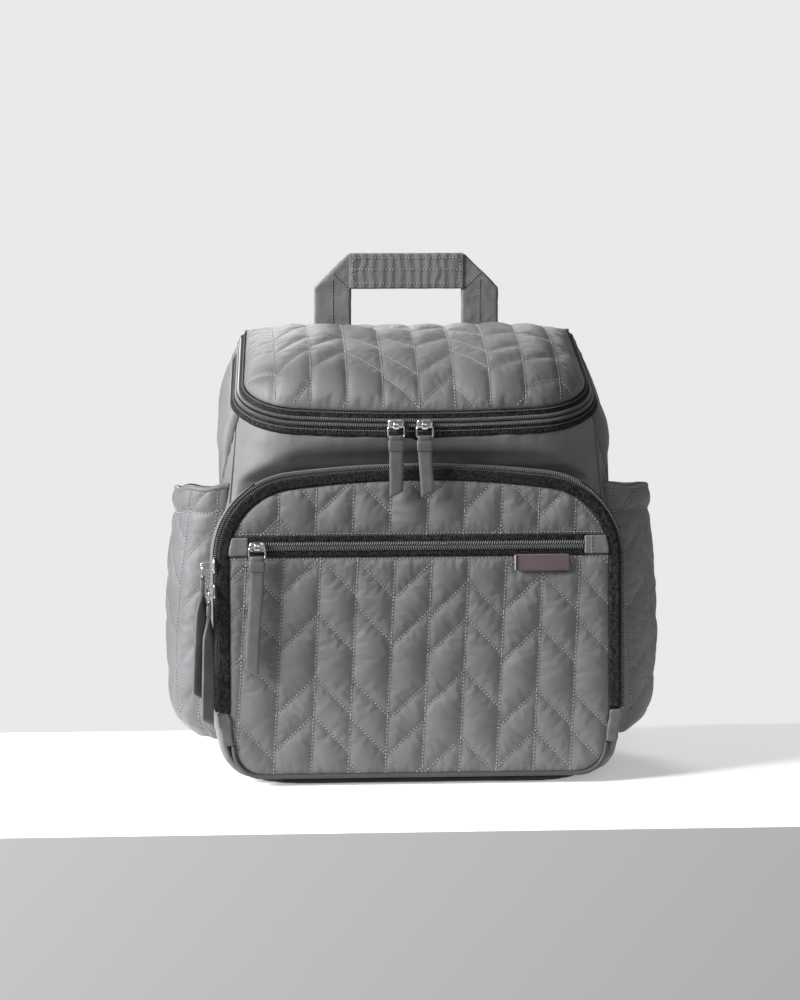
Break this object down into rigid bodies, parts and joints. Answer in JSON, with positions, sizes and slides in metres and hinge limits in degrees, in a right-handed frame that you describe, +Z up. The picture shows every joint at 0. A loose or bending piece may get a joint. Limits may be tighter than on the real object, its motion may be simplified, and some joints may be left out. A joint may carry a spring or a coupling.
{
  "type": "backpack diaper bag",
  "caption": "Quilted fabric backpack diaper bag with a zipped lid, a zipped front compartment with its own zip pocket, open side pockets, a carry handle and shoulder straps.",
  "frame": {"origin": "centre of the base, on the ground the bag stands on", "axes": "+Z up, the front with the quilted flap faces -Y, +X is to the viewer's right seen from the front"},
  "size_m": [0.41, 0.2246, 0.4212],
  "materials": {
    "quilted_fabric": "satin quilted nylon",
    "plain_fabric": "satin woven nylon",
    "lining": "light lining cloth",
    "air_mesh": "padded air mesh",
    "base_cloth": "coated cloth over a stiff board",
    "webbing": "ribbed webbing",
    "zip_tape": "woven tape",
    "zip_coil": "moulded coil",
    "buckle_plastic": "moulded nylon",
    "nickel": "polished nickel",
    "pull_leather": "smooth leather",
    "label_cloth": "woven satin label, blank"
  },
  "bodies": {
    "bag": {"base_panel": "base_cloth", "base_piping": "plain_fabric", "back_panel": "plain_fabric", "back_pad": "air_mesh", "left_gusset": "plain_fabric", "right_gusset": "plain_fabric", "main_front_panel": "plain_fabric", "main_lining": "lining", "inner_slip_pocket": "lining", "front_gusset": "plain_fabric", "front_foot_quilt": "quilted_fabric", "flap_zip_end_covers": "plain_fabric", "lid_hinge_piping": "plain_fabric", "lid_zip_body_tape": "zip_tape", "lid_zip_body_teeth": "zip_coil", "flap_zip_body_tape": "zip_tape", "flap_zip_body_teeth": "zip_coil", "left_side_pocket": "quilted_fabric", "right_side_pocket": "quilted_fabric", "left_side_pocket_hem": "plain_fabric", "right_side_pocket_hem": "plain_fabric", "handle_anchors": "plain_fabric", "strap_anchors": "plain_fabric", "strap_yokes": "plain_fabric"},
    "lid": {"lid_quilt": "quilted_fabric", "lid_lining": "lining", "lid_zip_lid_tape": "zip_tape", "lid_zip_lid_teeth": "zip_coil"},
    "front_flap": {"pocket_quilt": "quilted_fabric", "flap_upper_quilt": "quilted_fabric", "flap_pocket_lining": "lining", "flap_zip_flap_tape": "zip_tape", "flap_zip_flap_teeth": "zip_coil", "pocket_zip_tapes": "zip_tape", "pocket_zip_teeth": "zip_coil", "pocket_zip_end_tabs": "plain_fabric", "blank_label": "label_cloth"},
    "handle": {"handle_strap": "plain_fabric", "handle_grip": "plain_fabric"},
    "left_strap": {"left_strap_pad": "air_mesh", "left_ladder_lock": "buckle_plastic", "left_strap_webbing": "webbing"},
    "right_strap": {"right_strap_pad": "air_mesh", "right_ladder_lock": "buckle_plastic", "right_strap_webbing": "webbing"},
    "lid_zip_left_slider": {"lid_zip_left_slider": "nickel"},
    "lid_zip_left_pull": {"lid_zip_left_ring": "nickel", "lid_zip_left_pull": "pull_leather"},
    "lid_zip_right_slider": {"lid_zip_right_slider": "nickel"},
    "lid_zip_right_pull": {"lid_zip_right_ring": "nickel", "lid_zip_right_pull": "pull_leather"},
    "flap_zip_upper_slider": {"flap_zip_upper_slider": "nickel"},
    "flap_zip_upper_pull": {"flap_zip_upper_ring": "nickel", "flap_zip_upper_pull": "pull_leather"},
    "flap_zip_lower_slider": {"flap_zip_lower_slider": "nickel"},
    "flap_zip_lower_pull": {"flap_zip_lower_ring": "nickel", "flap_zip_lower_pull": "pull_leather"},
    "pocket_zip_slider": {"pocket_zip_slider": "nickel"},
    "pocket_zip_pull": {"pocket_zip_ring": "nickel", "pocket_zip_pull": "pull_leather"}
  },
  "joints": [
    {"name": "lid_hinge", "type": "hinge", "parent": "bag", "child": "lid", "pos_m": [0, 0.079, 0.355], "axis": [-1, 0, 0], "range_deg": [0, 85]},
    {"name": "flap_fold", "type": "hinge", "parent": "bag", "child": "front_flap", "pos_m": [0, -0.09201, 0.05993], "axis": [1, 0, 0], "range_deg": [0, 90], "deforming": ["lid_zip_left_pull", "lid_zip_right_pull"]},
    {"name": "handle_swing", "type": "hinge", "parent": "bag", "child": "handle", "pos_m": [0, 0.0915, 0.3455], "axis": [-1, 0, 0], "range_deg": [0, 80]},
    {"name": "left_strap_swing", "type": "hinge", "parent": "bag", "child": "left_strap", "pos_m": [-0.05, 0.0936, 0.3205], "axis": [1, 0, 0], "range_deg": [0, 25]},
    {"name": "right_strap_swing", "type": "hinge", "parent": "bag", "child": "right_strap", "pos_m": [0.05, 0.0936, 0.3205], "axis": [1, 0, 0], "range_deg": [0, 25]},
    {"name": "lid_zip_left_travel", "type": "hinge", "parent": "lid", "child": "lid_zip_left_slider", "pos_m": [0, 0.64048, 0.55783], "axis": [0, -0.3494, 0.937], "range_deg": [-4.75, 0]},
    {"name": "lid_zip_right_travel", "type": "hinge", "parent": "lid", "child": "lid_zip_right_slider", "pos_m": [0, 0.64048, 0.55783], "axis": [0, -0.3494, 0.937], "range_deg": [0, 5.87]},
    {"name": "flap_zip_upper_travel", "type": "hinge", "parent": "bag", "child": "flap_zip_upper_slider", "pos_m": [-0.097, -0.07664, 0.1833], "axis": [0, 0.996, -0.0889], "range_deg": [0, 75]},
    {"name": "flap_zip_lower_travel", "type": "slide", "parent": "bag", "child": "flap_zip_lower_slider", "axis": [0, 0.0889, 0.996], "range_m": [-0.088, 0]},
    {"name": "pocket_zip_travel", "type": "slide", "parent": "front_flap", "child": "pocket_zip_slider", "axis": [1, 0, 0], "range_m": [0, 0.255]},
    {"name": "lid_zip_left_pull_swing", "type": "hinge", "parent": "lid_zip_left_slider", "child": "lid_zip_left_pull", "pos_m": [-0.019, -0.07886, 0.28959], "axis": [-1, 0, 0], "range_deg": [0, 150]},
    {"name": "lid_zip_right_pull_swing", "type": "hinge", "parent": "lid_zip_right_slider", "child": "lid_zip_right_pull", "pos_m": [0.004, -0.07907, 0.28952], "axis": [-1, 0, 0], "range_deg": [0, 150]},
    {"name": "flap_zip_upper_pull_swing", "type": "hinge", "parent": "flap_zip_upper_slider", "child": "flap_zip_upper_pull", "pos_m": [-0.175, -0.07712, 0.17782], "axis": [0, 0.996, -0.0889], "range_deg": [0, 110]},
    {"name": "flap_zip_lower_pull_swing", "type": "hinge", "parent": "flap_zip_lower_slider", "child": "flap_zip_lower_pull", "pos_m": [-0.17, -0.07895, 0.1574], "axis": [0, 0.996, -0.0889], "range_deg": [0, 110], "deforming": ["flap_zip_upper_pull"]},
    {"name": "pocket_zip_pull_swing", "type": "hinge", "parent": "pocket_zip_slider", "child": "pocket_zip_pull", "pos_m": [-0.131, -0.08451, 0.19354], "axis": [-1, 0, 0], "range_deg": [0, 150]}
  ]
}
